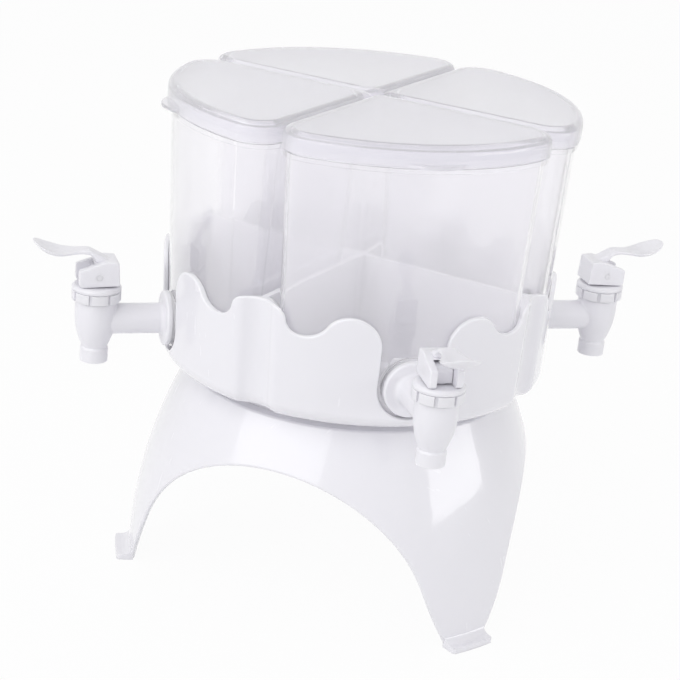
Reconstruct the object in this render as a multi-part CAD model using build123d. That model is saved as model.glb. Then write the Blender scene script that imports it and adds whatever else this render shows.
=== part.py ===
from build123d import *
import math
import os

# Cold drink dispenser: four clear lift-out tanks with lids and lever taps, in a base that turns on a
# three-legged stand. Millimetres, +Z up. The origin is on the floor under the spin axis, and the front
# tap points along -Y. Each repeated piece is made for the front quarter and turned into its place.

# Quarters, each with its turn about the spin axis in degrees
quarters = {"front": 0, "right": 90, "rear": 180, "left": 270}

# Fits
running_clearance = 0.08
thread_clearance = 0.05
loose_clearance = 0.2

# Stand
stand_height = 118.0
stand_top_radius = 91.5
stand_foot_radius = 119.7
stand_bulge = 7.0
stand_wall = 2.8
stand_top_thickness = 3.0
stand_edge_round = 1.5
leg_count = 3
leg_angle = 22.2
leg_width = 29.2
toe_width = 28.0
toe_reach = 7.8
toe_thickness = 3.0
toe_blend = 4.5
toe_corner = 3.0
toe_sink = 0.4
arch_drop = 26.0
arch_share = 0.92
arch_round = 1.1

# Pivot and glide ring between the stand and the base
spigot_radius = 12.0
boss_wall = 5.0
boss_depth = 12.0
pivot_play = 0.3
pivot_washer_thickness = 2.0
screw_radius = 2.0
screw_length = 12.0
screw_head_radius = 4.2
screw_head_height = 2.8
screw_head_round = 1.1
screw_slot_width = 1.1
screw_slot_depth = 1.4
glide_ring_inset = 7.0
glide_ring_width = 14.0
glide_ring_seat = 0.8

# Turning base
base_lift = 7.0
base_height = 62.0
base_floor = 2.5
base_wall = 2.4
base_clearance = 0.4
cell_edge_relief = 0.7
lobe_corner = 9.0
crease_radius = 14.5
divider_thickness = 3.0
divider_corner = 3.0
divider_web = 4.6

# Wavy rim of the base, heights down from the crest at the creases
notch_clearance = 1.95
shoulder_radius = 16.0
shoulder_drop = 1.0
valley_drop = 14.0
valley_angle = 31.2
crest_flat = 2.5
rim_round = 0.9

# Lids
lid_radius = 112.0
lid_half_gap = 0.55
lid_corner = 17.0
lid_heart_radius = 6.0
lid_seat = 3.3
lid_plate = 2.0
lid_skirt = 1.5
lid_skirt_drop = 7.7
lid_edge_round = 4.5
lid_clearance = 0.35
rib_thickness = 1.4
rib_drop = 5.0
rib_clearance = 0.6
tab_width = 32.0
tab_reach = 5.0
tab_thickness = 2.0
tab_round = 0.8

# Tanks, which follow the lids at the rim
draft_angle = 2.35
tank_height = 147.4
tank_wall = 2.0
tank_floor = 2.5
tank_heart_radius = 14.0
tank_edge_round = 6.5
bead_height = 2.4
bead_proud = 1.4
bead_gap = 1.0
pad_margin = 0.3
pad_proud = 0.6
pad_depth = 1.2

# Taps, along the stem
tap_reach = 146.7
tap_rise = 21.5
stem_radius = 8.35
passage_radius = 4.5
flange_radius = 15.25
flange_thickness = 2.8
flange_round = 1.2
flange_blend = 2.8
barrel_blend = 1.5
gasket_margin = 1.25
gasket_thickness = 1.5
tail_radius = 8.0
tail_overhang = 1.5
washer_width = 5.0
washer_thickness = 1.5
nut_wall = 4.0
nut_thickness = 8.0
nut_chamfer = 1.2

# Taps, up and down from the stem's axis
barrel_radius = 11.25
barrel_rise = 10.7
barrel_straight = 4.0
throat_wall = 2.4
throat_drop = 15.2
throat_step = 1.2
nozzle_radius = 7.6
nozzle_length = 7.2
nozzle_wall = 1.6
neck_step = 1.5
neck_wall = 2.25
neck_height = 5.3
seat_drop = 7.0
seat_overlap = 1.9
seal_thickness = 2.0
collar_wall = 3.55
collar_skirt = 7.0
collar_roof = 2.0
collar_chamfer = 1.6
grip_count = 8
grip_width = 2.2
grip_depth = 1.3
grip_margin = 3.0

# Plunger, valve cup, spring and lever pin
plunger_radius = 3.0
disc_margin = 1.2
disc_thickness = 1.5
plunger_foot = 3.0
cup_clearance = 1.1
cup_height = 5.5
spring_wire_radius = 0.45
spring_inset = 1.0
spring_turns = 6
pin_radius = 1.5
pin_rise = 6.0
eye_wall = 3.0
eye_gap = 1.0
eye_side_clearance = 0.4
eye_swing_clearance = 0.7
eye_roof_clearance = 2.0

# Lever hood, out from the tap's axis and up from the collar's top
lever_half_width = 8.8
cheek_thickness = 3.6
lever_play = 0.2
heel_reach = 10.8
heel_cover = 3.5
heel_round = 2.4
hood_back_wall = 3.8
hood_back_relief = 1.0
hood_back_cover = 1.8
hood_lean = 1.0
hood_roof = 2.3
hood_round = 1.0
ridge_back = 4.0

# Lever paddle, out from the tap's axis and up from the hood's ridge
neck_half_width = 4.7
neck_reach = 12.0
paddle_half_width = 10.0
paddle_widest = 26.0
paddle_reach = 35.2
paddle_top = [
    (-9.0, -1.8), (-2.6, 1.4), (1.5, 3.6), (5.3, 5.2),
    (12.0, 5.1), (20.0, 5.4), (28.0, 7.5), (36.5, 11.2),
]
paddle_under = [
    (36.5, 9.8), (28.0, 5.4), (20.0, 3.4), (12.0, 3.1), (7.0, 3.1), (3.5, 1.5), (1.0, -1.8),
]

# Levels
base_bottom = stand_height + base_lift
base_crest = base_bottom + base_height
tank_bottom = base_bottom + base_floor
tank_rim = tank_bottom + tank_height
lid_top = tank_rim + lid_seat
skirt_bottom = tank_rim - lid_skirt_drop
bead_top = skirt_bottom - bead_gap
tap_level = tank_bottom + tap_rise
barrel_top = tap_level + barrel_rise
neck_top = barrel_top + neck_height
collar_top = neck_top + seal_thickness + collar_roof
collar_bottom = collar_top - collar_roof - collar_skirt
seat_level = tap_level - seat_drop
disc_bottom = seat_level + cup_height
disc_top = disc_bottom + disc_thickness
pin_level = collar_top + pin_rise
throat_level = tap_level - throat_drop
nozzle_top = throat_level - throat_step
nozzle_bottom = nozzle_top - nozzle_length
boss_top = stand_height - stand_top_thickness
boss_bottom = boss_top - boss_depth
spigot_bottom = boss_bottom - pivot_play
pivot_washer_bottom = spigot_bottom - pivot_washer_thickness

# Sizes that follow from a neighbour
leg_half_turn = math.degrees(math.asin(leg_width / 2 / stand_foot_radius))
arch_half_span = stand_foot_radius * math.sin(math.radians(180 / leg_count - leg_half_turn))
arch_radius = arch_half_span * arch_share
arch_middle = stand_height - arch_drop - arch_radius
boss_radius = spigot_radius + boss_wall
glide_ring_radius = stand_top_radius - glide_ring_inset
cell_edge_round = tank_edge_round - cell_edge_relief
base_edge_round = cell_edge_round + base_wall
pad_radius = flange_radius + pad_margin
gasket_radius = flange_radius - gasket_margin
notch_radius = pad_radius + notch_clearance
washer_radius = tail_radius + washer_width
neck_radius = barrel_radius - neck_step
chamber_radius = neck_radius - neck_wall
cup_radius = chamber_radius - cup_clearance
outlet_radius = cup_radius - seat_overlap
throat_radius = outlet_radius + throat_wall
collar_radius = neck_radius + thread_clearance + collar_wall
disc_radius = cup_radius - disc_margin
spring_radius = disc_radius - spring_inset
eye_radius = pin_radius + eye_wall
pocket_half_width = lever_half_width - cheek_thickness
eye_width = (pocket_half_width - eye_side_clearance) * 2
pocket_back = math.hypot(eye_radius, pin_rise - eye_gap) + eye_swing_clearance
pocket_height = pin_rise + eye_radius + eye_roof_clearance
hood_back = pocket_back + hood_back_wall
ridge_height = pocket_height + hood_roof

# Outline of a tank at its rim: radius, gap to the planes between quarters, corner and heart radius
rim_inset = lid_skirt + lid_clearance
tank_outline = (
    lid_radius - rim_inset,
    lid_half_gap + rim_inset,
    lid_corner - rim_inset,
    tank_heart_radius,
)


def draft_inset(level):
    """How far the tank's wall has drawn in at a level below its rim."""
    return (tank_rim - level) * math.tan(math.radians(draft_angle))


# Faces across the tank's wall at the tap, as distances from the spin axis
wall_face = tank_outline[0] - draft_inset(tap_level)
pad_face = wall_face + pad_proud
pad_back = wall_face - tank_wall - pad_depth
flange_back = pad_face + gasket_thickness
flange_front = flange_back + flange_thickness
washer_back = pad_back - washer_thickness
nut_back = washer_back - nut_thickness
tail_end = nut_back - tail_overhang


def mirrored(point):
    """The same point on the other side of the quarter's middle."""
    return Vector(-point.X, point.Y)


def arc_about(centre, start, end):
    """The shorter arc from start to end about a centre."""
    middle = ((start - centre) + (end - centre)).normalized() * (start - centre).length
    return ThreePointArc(start, centre + middle, end)


def level_arcs(start, end):
    """Two equal arcs, level at both ends, that meet half-way."""
    middle = (start + end) * 0.5
    run = middle.X - start.X
    rise = middle.Y - start.Y
    bend = (run ** 2 + rise ** 2) / (2 * rise)
    first = arc_about(Vector(start.X, start.Y + bend), start, middle)
    second = arc_about(Vector(end.X, end.Y - bend), middle, end)
    return [first, second]


def inset(outline, amount):
    """A quarter's outline drawn in by an amount on every side."""
    radius, gap, corner, heart = outline
    return (radius - amount, gap + amount, corner - amount, heart - amount)


# Outlines of the base's wall and of its cells at the crest
lobe_radius, lobe_gap, _, _ = inset(tank_outline, draft_inset(base_crest) - base_clearance - base_wall)
wall_outline = (lobe_radius, lobe_gap, lobe_corner, lobe_corner)
cell_outline = inset(tank_outline, draft_inset(base_crest) - base_clearance)

# Direction of the plane between the front and right quarters, and its normal into the front one
side = Vector(1, -1).normalized()
inward = Vector(-1, -1).normalized()


def corner_centre(outline):
    """Centre of a quarter's right corner."""
    radius, gap, corner, _ = outline
    reach = math.sqrt((radius - corner) ** 2 - (gap + corner) ** 2)
    return side * reach + inward * (gap + corner)


def crease_centre(outline):
    """Centre of the arc that joins two neighbouring quarters' corners, on the plane between them."""
    _, gap, corner, _ = outline
    along = math.sqrt((corner + crease_radius) ** 2 - (gap + corner) ** 2)
    return side * (corner_centre(outline).dot(side) + along)


def quarter_face(outline):
    """Rounded quarter of a disc about -Y, with straight sides a gap away from the planes between quarters."""
    radius, gap, corner, heart = outline
    centre = corner_centre(outline)
    on_rim = centre.normalized() * radius
    on_side = centre - inward * corner
    heart_centre = Vector(0, -(gap + heart) * math.sqrt(2))
    by_heart = heart_centre - inward * heart
    right = [arc_about(centre, on_rim, on_side), Line(on_side, by_heart)]
    left = [edge.mirror(Plane.YZ) for edge in right]
    rim = ThreePointArc(mirrored(on_rim), Vector(0, -radius), on_rim)
    tip = ThreePointArc(by_heart, heart_centre + Vector(0, heart), mirrored(by_heart))
    return make_face([rim, tip] + right + left)


def quarter_block(outline, top, bottom, draft=0.0):
    """A quarter's outline at its top, extruded down and drawn in by the draft."""
    block = extrude(quarter_face(outline), top - bottom, taper=draft)
    return Pos(0, 0, top) * mirror(block, Plane.XY)


def lobed_face(outline):
    """Four rounded lobes joined by soft creases on the planes between quarters."""
    radius = outline[0]
    centre = corner_centre(outline)
    crease = crease_centre(outline)
    on_rim = centre.normalized() * radius
    meeting = crease + (centre - crease).normalized() * crease_radius
    beyond = side * (2 * meeting.dot(side)) - meeting
    corner_edge = arc_about(centre, on_rim, meeting)
    quarter = [
        ThreePointArc(mirrored(on_rim), Vector(0, -radius), on_rim),
        corner_edge,
        corner_edge.mirror(Plane.YZ),
        arc_about(crease, meeting, beyond),
    ]
    return make_face([edge.rotate(Axis.Z, turn) for turn in quarters.values() for edge in quarter])


def bottom_edges(part):
    """The edges of a part's lowest face."""
    return part.faces().sort_by(Axis.Z)[0].edges()


def bar(radius, length):
    """Upright round bar that stands on the origin."""
    return Cylinder(radius, length, align=(Align.CENTER, Align.CENTER, Align.MIN))


def upright(radius, bottom, top):
    """Round bar on the spin axis between two levels."""
    return Pos(0, 0, bottom) * bar(radius, top - bottom)


def at_tap(radius, bottom, top):
    """Upright round bar on the front tap's axis between two levels."""
    return Pos(0, -tap_reach, bottom) * bar(radius, top - bottom)


def along_tap(radius, start, end):
    """Round bar about the front tap's stem, between two distances from the spin axis."""
    return Pos(0, -start, tap_level) * Rot(90, 0, 0) * bar(radius, end - start)


def across_tap(radius, length):
    """Round bar on the lever pin's line, across the front tap."""
    return Pos(0, -tap_reach, pin_level) * Rot(0, 90, 0) * Cylinder(radius, length)


def leg_line(wall):
    """Bowed line from the stand's top edge to its foot, moved in by a wall."""
    top = Vector(stand_top_radius - wall, stand_height)
    foot = Vector(stand_foot_radius - wall, 0)
    outward = Vector(stand_height, stand_foot_radius - stand_top_radius).normalized()
    return ThreePointArc(top, (top + foot) * 0.5 + outward * stand_bulge, foot)


def skirt(wall, top):
    """Solid of revolution inside the leg line moved in by a wall, up to a level."""
    line = leg_line(wall)
    face = make_face([line, Polyline(line @ 1, (0, 0), (0, stand_height), line @ 0)])
    return revolve(Plane.XZ * face, Axis.Z) & upright(stand_foot_radius, 0, top)


def make_toe():
    """Toe plate at the foot of a leg that points to the front, blended into the leg's face."""
    blend_level = toe_thickness + toe_blend
    along_leg = 1 - blend_level / stand_height
    leg_point = leg_line(toe_sink).position_at(along_leg)
    in_wall = leg_line(stand_wall / 2)
    outside = stand_foot_radius + toe_reach
    blend_start = Vector(stand_foot_radius + toe_blend, toe_thickness)
    blend = TangentArc(blend_start, leg_point, tangent=(-1, 0))
    outline = Polyline(
        leg_point,
        in_wall.position_at(along_leg),
        in_wall @ 1,
        (outside, 0),
        (outside, toe_thickness),
        blend_start,
    )
    ring = revolve(Plane.XZ * make_face([blend, outline]), Axis.Z)
    plate = RectangleRounded(toe_width, stand_foot_radius, toe_corner)
    return ring & extrude(Pos(0, stand_foot_radius / 2 - outside) * plate, blend_level)


def make_arch():
    """What lies under the front arch: a round top whose straight sides run on to the feet."""
    foot = Vector(arch_half_span, 0)
    middle = Vector(0, arch_middle)
    foot_line = foot - middle
    lean = math.atan2(foot_line.Y, foot_line.X) + math.acos(arch_radius / foot_line.length)
    touch = middle + Vector(math.cos(lean), math.sin(lean)) * arch_radius
    outline = make_face([
        ThreePointArc(touch, middle + Vector(0, arch_radius), mirrored(touch)),
        Polyline(mirrored(touch), mirrored(foot), foot, touch),
    ])
    return extrude(Plane.XZ * outline, stand_foot_radius + toe_reach)


def make_stand():
    """Skirted stand with a flat top, three arches between its legs, a toe on each leg and a pivot boss."""
    leg_turns = [leg_angle + 360 / leg_count * leg for leg in range(leg_count)]
    stand = skirt(0, stand_height)
    stand = fillet(stand.edges().group_by(Axis.Z)[-1], stand_edge_round)
    arch = make_arch()
    for turn in leg_turns:
        stand -= Rot(0, 0, turn + 180 / leg_count) * arch
    stand = fillet(stand.edges().filter_by(GeomType.BSPLINE), arch_round)
    stand -= skirt(stand_wall, boss_top)
    stand += upright(boss_radius, boss_bottom, boss_top)
    toe = make_toe()
    for turn in leg_turns:
        stand += Rot(0, 0, turn) * toe
    stand -= upright(spigot_radius + running_clearance, boss_bottom, stand_height)
    return stand - glide_band(thread_clearance)


def glide_band(margin):
    """Flat ring from its seat in the stand up to the base, with a margin round it."""
    bottom = stand_height - glide_ring_seat
    band = upright(glide_ring_radius + margin, bottom, base_bottom)
    return band - upright(glide_ring_radius - glide_ring_width - margin, bottom, base_bottom)


def make_glide_ring():
    """Glide ring on which the base turns."""
    return glide_band(0)


def wave_cutter():
    """What lies above the wavy rim and in the tap notch of the front quarter of the base."""
    wall_radius = wall_face + base_clearance + base_wall
    crease = crease_centre(wall_outline) - side * crease_radius
    shoulder = Vector(notch_radius + shoulder_radius, base_crest - shoulder_drop)
    valley = Vector(wall_radius * math.sin(math.radians(valley_angle)), base_crest - valley_drop)
    crest = Vector(crease.X - crest_flat, base_crest)
    above = base_crest + base_wall
    shoulder_start = Vector(notch_radius, shoulder.Y - shoulder_radius)
    right = [
        Line((notch_radius, tap_level), shoulder_start),
        arc_about(Vector(shoulder.X, shoulder_start.Y), shoulder_start, shoulder),
        *level_arcs(shoulder, valley),
        *level_arcs(valley, crest),
        Polyline(crest, (crest.X, above), (0, above)),
    ]
    left = [edge.mirror(Plane.YZ) for edge in right]
    notch = ThreePointArc((notch_radius, tap_level), (0, tap_level - notch_radius), (-notch_radius, tap_level))
    prism = extrude(Plane.XZ * make_face([notch] + right + left), lid_radius)
    sector = (lid_radius, divider_thickness / 2, divider_corner, divider_corner)
    return prism & quarter_block(sector, above, base_bottom)


def rim_edges(base):
    """The curved edges along the top of the base's outer wall, before the cells are cut."""
    crease = crease_centre(wall_outline).length - crease_radius
    notch_bottom = tap_level - notch_radius

    def on_rim(edge):
        """Whether an edge lies out by the wall, above the round of the bottom."""
        middle = edge.center()
        by_wall = math.hypot(middle.X, middle.Y) > crease - rim_round
        above_round = edge.bounding_box().min.Z > notch_bottom - rim_round
        level_below = edge.bounding_box().max.Z < tap_level and edge.geom_type == GeomType.CIRCLE
        return by_wall and above_round and not level_below and edge.geom_type != GeomType.LINE

    return base.edges().filter_by(on_rim)


def make_base():
    """Lobed base with four cells, a cross divider, a wavy rim with tap notches and a spigot below."""
    outer = extrude(lobed_face(wall_outline), base_height, taper=draft_angle)
    base = Pos(0, 0, base_crest) * mirror(outer, Plane.XY)
    base = fillet(bottom_edges(base), base_edge_round)
    cutter = wave_cutter()
    for turn in quarters.values():
        base -= Rot(0, 0, turn) * cutter
    base = fillet(rim_edges(base), rim_round)

    cell = quarter_block(cell_outline, base_crest, tank_bottom, draft_angle)
    cell = fillet(bottom_edges(cell), cell_edge_round)
    crease = crease_centre(wall_outline).length - crease_radius
    relief_outline = (crease - divider_web, divider_thickness / 2, divider_corner, divider_corner)
    pocket = cell + quarter_block(relief_outline, base_crest, tank_bottom)
    for turn in quarters.values():
        base -= Rot(0, 0, turn) * pocket

    base += upright(spigot_radius, spigot_bottom, tank_bottom)
    return base - upright(screw_radius + thread_clearance, spigot_bottom, spigot_bottom + screw_length)


def make_pivot_washer():
    """Washer under the stand's boss that keeps the base from lifting off."""
    washer = upright(boss_radius, pivot_washer_bottom, spigot_bottom)
    return washer - upright(screw_radius + loose_clearance, pivot_washer_bottom, spigot_bottom)


def make_pivot_screw():
    """Cross-head screw through the washer into the spigot."""
    head_bottom = pivot_washer_bottom - screw_head_height
    screw = upright(screw_head_radius, head_bottom, pivot_washer_bottom)
    screw = fillet(bottom_edges(screw), screw_head_round)
    screw += upright(screw_radius, pivot_washer_bottom, spigot_bottom + screw_length - pivot_play)
    on_floor = (Align.CENTER, Align.CENTER, Align.MIN)
    slot = Box(screw_head_radius, screw_slot_width, screw_slot_depth, align=on_floor)
    for turn in (0, 90):
        screw -= Pos(0, 0, head_bottom) * Rot(0, 0, turn) * slot
    return screw


def make_tank():
    """Clear tank with a rounded floor, a bead under the lid and a flat pad with a hole for the tap."""
    outer = quarter_block(tank_outline, tank_rim, tank_bottom, draft_angle)
    outer = fillet(bottom_edges(outer), tank_edge_round)
    inner = quarter_block(inset(tank_outline, tank_wall), tank_rim, tank_bottom + tank_floor, draft_angle)
    inner = fillet(bottom_edges(inner), tank_edge_round - tank_wall)
    bead_outline = inset(tank_outline, draft_inset(bead_top) - bead_proud)
    tank = outer + quarter_block(bead_outline, bead_top, bead_top - bead_height) - inner
    tank += along_tap(pad_radius, pad_back, pad_face)
    return tank - along_tap(tail_radius + loose_clearance, pad_back, pad_face)


def make_lid():
    """Lid with a skirt over the tank's rim, a rib inside it and a finger tab above the tap."""
    lid_outline = (lid_radius, lid_half_gap, lid_corner, lid_heart_radius)
    lid = quarter_block(lid_outline, lid_top, skirt_bottom)
    lid = fillet(lid.edges().group_by(Axis.Z)[-1], lid_edge_round)
    tab_end = lid_radius + tab_reach
    tab_depth = tab_end - math.sqrt(lid_radius ** 2 - (tab_width / 2) ** 2)
    tab_radius = ((tab_width / 2) ** 2 + tab_depth ** 2) / (2 * tab_depth)
    tab = bar(tab_radius, tab_thickness)
    tab = fillet(tab.edges().filter_by(GeomType.CIRCLE), tab_round)
    lid += Pos(0, tab_radius - tab_end, skirt_bottom) * tab

    lid -= quarter_block(inset(tank_outline, -lid_clearance), tank_rim, skirt_bottom)
    rib_outline = inset(tank_outline, tank_wall + rib_clearance)
    rib_bottom = tank_rim - rib_drop
    lid += quarter_block(rib_outline, tank_rim, rib_bottom)
    return lid - quarter_block(inset(rib_outline, rib_thickness), lid_top - lid_plate, rib_bottom)


def make_stem():
    """Stem with its flange, rounded at the flange's rim and blended where they meet."""
    flange = along_tap(flange_radius, flange_back, flange_front)
    flange = fillet(flange.edges().group_by(Axis.Y)[0], flange_round)
    stem = flange + along_tap(stem_radius, flange_back, tap_reach)
    flange_face = stem.faces().filter_by(Axis.Y).sort_by(Axis.Y)[1]
    return fillet(flange_face.inner_wires()[0].edges(), flange_blend)


def make_tap_body():
    """Tap moulding: threaded tail, flange, stem, valve barrel with its seat, and nozzle."""
    shoulder = Vector(barrel_radius, tap_level + barrel_straight)
    throat = Vector(throat_radius, throat_level)
    profile = make_face([
        TangentArc(shoulder, throat, tangent=(0, -1)),
        Polyline(throat, (nozzle_radius, nozzle_top), (nozzle_radius, nozzle_bottom), (0, nozzle_bottom),
                 (0, barrel_top), (barrel_radius, barrel_top), shoulder),
    ])
    body = Pos(0, -tap_reach, 0) * revolve(Plane.XZ * profile, Axis.Z)
    body += make_stem()
    body = fillet(body.edges().filter_by(GeomType.BSPLINE), barrel_blend)
    body += at_tap(neck_radius, barrel_top, neck_top)
    body += along_tap(tail_radius, tail_end, flange_back)
    body -= along_tap(passage_radius, tail_end, tap_reach)
    body -= at_tap(chamber_radius, seat_level, neck_top)
    body -= at_tap(outlet_radius, nozzle_bottom, seat_level)
    return body - at_tap(nozzle_radius - nozzle_wall, nozzle_bottom, nozzle_top)


def make_gasket():
    """Soft ring between the tank's pad and the tap's flange."""
    gasket = along_tap(gasket_radius, pad_face, flange_back)
    return gasket - along_tap(tail_radius + loose_clearance, pad_face, flange_back)


def make_washer():
    """Soft ring between the tank's inside and the lock nut."""
    washer = along_tap(washer_radius, washer_back, pad_back)
    return washer - along_tap(tail_radius + loose_clearance, washer_back, pad_back)


def make_nut():
    """Six-sided lock nut on the tap's tail, inside the tank."""
    hexagon = RegularPolygon(tail_radius + nut_wall, 6, major_radius=False)
    nut = Pos(0, -nut_back, tap_level) * Rot(90, 0, 0) * extrude(hexagon, nut_thickness)
    nut = chamfer(nut.faces().sort_by(Axis.Y)[-1].edges(), nut_chamfer)
    return nut - along_tap(tail_radius + thread_clearance, nut_back, washer_back)


def make_collar():
    """Screw collar over the barrel's neck, with grip notches and a hole for the plunger."""
    collar = at_tap(collar_radius, collar_bottom, collar_top)
    collar = chamfer(collar.edges().group_by(Axis.Z)[-1], collar_chamfer)
    grip_height = collar_top - collar_bottom - grip_margin
    grip = Box(grip_width, grip_depth * 2, grip_height, align=(Align.CENTER, Align.CENTER, Align.MIN))
    for index in range(grip_count):
        turn = 360 / grip_count * (index + 0.5)
        collar -= Pos(0, -tap_reach, collar_bottom) * Rot(0, 0, turn) * Pos(0, -collar_radius, 0) * grip
    collar -= at_tap(neck_radius + thread_clearance, collar_bottom, collar_top - collar_roof)
    return collar - at_tap(plunger_radius + running_clearance, collar_bottom, collar_top)


def make_seal():
    """Soft disc held between the barrel's neck and the collar, round the plunger."""
    seal = at_tap(neck_radius - loose_clearance, neck_top, neck_top + seal_thickness)
    return seal - at_tap(plunger_radius + running_clearance, neck_top, neck_top + seal_thickness)


def make_plunger():
    """Stem with a foot and disc for the valve cup below, and an eye for the lever pin above."""
    plunger = at_tap(plunger_radius, disc_bottom - plunger_foot, pin_level)
    plunger += at_tap(disc_radius, disc_bottom, disc_top)
    plunger += across_tap(eye_radius, eye_width)
    shank = Box(eye_width, eye_radius * 2, pin_rise - eye_gap, align=(Align.CENTER, Align.CENTER, Align.MIN))
    plunger += Pos(0, -tap_reach, collar_top + eye_gap) * shank
    return plunger - across_tap(pin_radius + running_clearance, eye_width)


def make_valve_cup():
    """Soft cup on the plunger's foot that closes the seat."""
    cup = at_tap(cup_radius, seat_level, disc_bottom)
    return cup - at_tap(plunger_radius + thread_clearance, disc_bottom - plunger_foot, disc_bottom)


def make_spring():
    """Return spring between the plunger's disc and the seal."""
    rise = neck_top - disc_top - spring_wire_radius * 2
    coil = Helix(pitch=rise / spring_turns, height=rise, radius=spring_radius)
    wire = sweep(Plane(coil @ 0, z_dir=coil % 0) * Circle(spring_wire_radius), path=coil)
    return Pos(0, -tap_reach, disc_top + spring_wire_radius) * wire


def lever_plate(edges, level, half_width):
    """A side outline of the lever, out from the tap's axis and up from a level, made a plate."""
    plate = extrude(make_face(edges), half_width, both=True)
    return Pos(0, -tap_reach, level) * Rot(0, 0, -90) * Rot(90, 0, 0) * plate


def make_paddle():
    """Neck and paddle of the lever: a side outline cut to a plan outline with a round tip."""
    top = Spline(*paddle_top)
    under = Spline(*paddle_under)
    level = collar_top + ridge_height
    edges = [top, Line(top @ 1, under @ 0), under, Line(under @ 1, top @ 0)]
    plate = lever_plate(edges, level, paddle_half_width)
    side_line = Spline(
        (neck_reach, neck_half_width),
        (paddle_widest, paddle_half_width),
        (paddle_reach, 0),
        tangents=[(1, 0), (0, -1)],
    )
    root = -hood_back
    neck = Polyline(
        side_line @ 0,
        (root, neck_half_width),
        (root, -neck_half_width),
        (neck_reach, -neck_half_width),
    )
    plan = make_face([side_line, side_line.mirror(Plane.XZ), neck])
    block = extrude(plan, collar_top + ridge_height * 2)
    return plate & (Pos(0, -tap_reach, 0) * Rot(0, 0, -90) * block)


def make_lever():
    """Press lever: a hood with two cheeks over the plunger's eye, and a neck that runs out to a paddle."""
    hood = lever_plate([Polyline(
        (heel_reach, lever_play),
        (heel_reach, pin_rise + heel_cover),
        (-ridge_back, ridge_height),
        (hood_lean - hood_back, pocket_height + hood_back_cover),
        (-hood_back, lever_play + hood_back_relief),
        close=True,
    )], collar_top, lever_half_width)
    upper_edges = [edge for edge in hood.edges().filter_by(Axis.X) if edge.center().Z > pin_level]
    hood = fillet(upper_edges, hood_round)
    heel_edge = hood.edges().filter_by(Axis.X).group_by(Axis.Z)[0].sort_by(Axis.Y)[0]
    hood = fillet(heel_edge, heel_round)
    lever = hood + make_paddle()
    pocket = Box(
        pocket_half_width * 2,
        pocket_back + heel_reach * 2,
        pocket_height,
        align=(Align.CENTER, Align.MAX, Align.MIN),
    )
    lever -= Pos(0, pocket_back - tap_reach, collar_top) * pocket
    return lever - across_tap(pin_radius, lever_half_width * 2)


def make_pin():
    """Lever pin through both cheeks and the plunger's eye."""
    return across_tap(pin_radius, lever_half_width * 2)


nodes = {
    "stand": make_stand(),
    "glide_ring": make_glide_ring(),
    "base": make_base(),
    "pivot_washer": make_pivot_washer(),
    "pivot_screw": make_pivot_screw(),
}
quarter_nodes = {
    "tank": make_tank(),
    "lid": make_lid(),
    "tap_body": make_tap_body(),
    "tap_gasket": make_gasket(),
    "tap_washer": make_washer(),
    "tap_nut": make_nut(),
    "tap_collar": make_collar(),
    "tap_seal": make_seal(),
    "tap_plunger": make_plunger(),
    "tap_valve_cup": make_valve_cup(),
    "tap_spring": make_spring(),
    "tap_lever": make_lever(),
    "tap_pin": make_pin(),
}
for place, turn in quarters.items():
    for name, piece in quarter_nodes.items():
        nodes[place + "_" + name] = Rot(0, 0, turn) * piece

os.makedirs("parts", exist_ok=True)
for name, piece in nodes.items():
    export_step(piece, os.path.join("parts", name + ".step"))
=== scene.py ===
import logging
import math
from dataclasses import dataclass
from enum import Enum
from typing import Callable, Iterable, Sequence

import bmesh
import bpy
from mathutils import Matrix, Vector


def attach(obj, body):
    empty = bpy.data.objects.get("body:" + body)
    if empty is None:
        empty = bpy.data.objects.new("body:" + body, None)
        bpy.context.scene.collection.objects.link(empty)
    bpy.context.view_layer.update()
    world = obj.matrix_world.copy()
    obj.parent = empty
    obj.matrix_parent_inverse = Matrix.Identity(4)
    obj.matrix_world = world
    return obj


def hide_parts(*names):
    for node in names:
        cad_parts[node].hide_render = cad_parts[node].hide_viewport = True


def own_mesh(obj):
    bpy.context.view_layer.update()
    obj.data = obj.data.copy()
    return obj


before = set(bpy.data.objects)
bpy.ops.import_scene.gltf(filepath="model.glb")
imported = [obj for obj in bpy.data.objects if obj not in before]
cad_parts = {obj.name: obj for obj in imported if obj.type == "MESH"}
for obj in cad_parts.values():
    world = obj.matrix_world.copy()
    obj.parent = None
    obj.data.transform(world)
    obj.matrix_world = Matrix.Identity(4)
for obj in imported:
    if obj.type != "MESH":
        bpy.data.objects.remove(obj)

log = logging.getLogger("drink_dispenser")

MM_PER_METRE = 1000
MERGE_DISTANCE = 1e-6
PURE_WHITE = (1.0, 1.0, 1.0, 1.0)

Colour = tuple[float, float, float]
Point = tuple[float, float, float]
Outline = tuple[tuple[float, float], ...]
NodeTree = bpy.types.NodeTree
Socket = bpy.types.NodeSocket


class Place(Enum):
    """The four quarters of the dispenser, each with its turn about the spin axis in degrees."""

    FRONT = 0
    RIGHT = 90
    REAR = 180
    LEFT = 270

    @property
    def word(self) -> str:
        """The quarter's word in the names of its pieces."""
        return self.name.lower()

    @property
    def turn(self) -> Matrix:
        """The turn that takes a front piece to this quarter."""
        return Matrix.Rotation(math.radians(self.value), 4, "Z")


class Effect(Enum):
    """Shader node groups that several finishes share."""

    MOULDED_SKIN = "Moulded skin"
    HANDLING_MARKS = "Handling marks"
    FLOW_LINES = "Flow lines"


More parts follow.
